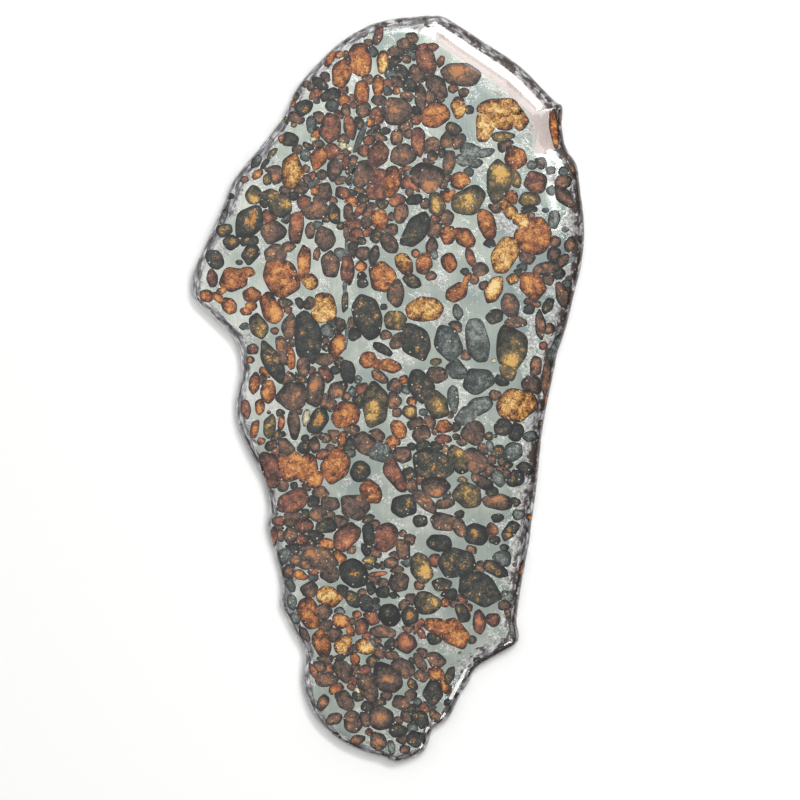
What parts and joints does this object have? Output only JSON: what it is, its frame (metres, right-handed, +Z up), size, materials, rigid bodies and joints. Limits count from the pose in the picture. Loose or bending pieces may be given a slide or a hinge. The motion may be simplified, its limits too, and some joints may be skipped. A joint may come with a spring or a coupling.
{
  "type": "pallasite meteorite slice",
  "caption": "Thin irregular polished slice of stony-iron meteorite: a nickel-iron metal web with olivine crystals set flush in it. Lies flat on its polished back.",
  "frame": {"origin": "under the middle of the slice, on the surface that its polished back rests on", "axes": "+Z up out of the polished face, +Y towards the slice's broad end, +X across it to the right"},
  "size_m": [0.1064, 0.2024, 0.0045],
  "materials": {
    "nickel_iron": "polished and lacquered",
    "olivine_gold": "polished and lacquered",
    "olivine_amber": "polished and lacquered",
    "olivine_russet": "polished and lacquered",
    "olivine_umber": "polished and lacquered",
    "olivine_green": "polished and lacquered",
    "olivine_black": "polished and lacquered",
    "olivine_slate": "polished and lacquered"
  },
  "bodies": {
    "root": {"nickel_iron_metal": "nickel_iron", "olivine_01": "olivine_amber", "olivine_02": "olivine_umber", "olivine_03": "olivine_umber", "olivine_04": "olivine_gold", "olivine_05": "olivine_amber", "olivine_06": "olivine_slate", "olivine_07": "olivine_umber", "olivine_08": "olivine_russet", "olivine_09": "olivine_gold", "olivine_10": "olivine_umber", "olivine_11": "olivine_green", "olivine_12": "olivine_green", "olivine_13": "olivine_green", "olivine_14": "olivine_umber", "olivine_15": "olivine_black", "olivine_16": "olivine_black", "olivine_17": "olivine_amber", "olivine_18": "olivine_amber", "olivine_19": "olivine_gold", "olivine_20": "olivine_gold", "olivine_21": "olivine_amber", "olivine_22": "olivine_amber", "olivine_23": "olivine_amber", "olivine_24": "olivine_amber", "olivine_25": "olivine_russet", "olivine_26": "olivine_amber", "olivine_27": "olivine_gold", "olivine_28": "olivine_gold", "olivine_29": "olivine_black", "olivine_30": "olivine_black", "olivine_31": "olivine_slate", "olivine_32": "olivine_slate", "olivine_33": "olivine_black", "olivine_34": "olivine_green", "olivine_35": "olivine_amber", "olivine_36": "olivine_slate", "olivine_37": "olivine_black", "olivine_38": "olivine_umber", "olivine_39": "olivine_gold", "olivine_40": "olivine_green", "olivine_41": "olivine_amber", "olivine_42": "olivine_slate", "olivine_43": "olivine_russet", "olivine_44": "olivine_amber", "olivine_45": "olivine_umber", "olivine_46": "olivine_umber", "olivine_47": "olivine_umber", "olivine_48": "olivine_russet", "olivine_49": "olivine_umber", "olivine_50": "olivine_russet", "olivine_51": "olivine_russet", "olivine_52": "olivine_umber", "olivine_53": "olivine_black", "olivine_54": "olivine_black", "olivine_55": "olivine_black", "olivine_56": "olivine_amber", "olivine_57": "olivine_amber", "olivine_58": "olivine_umber", "olivine_59": "olivine_umber"}
  },
  "joints": []
}
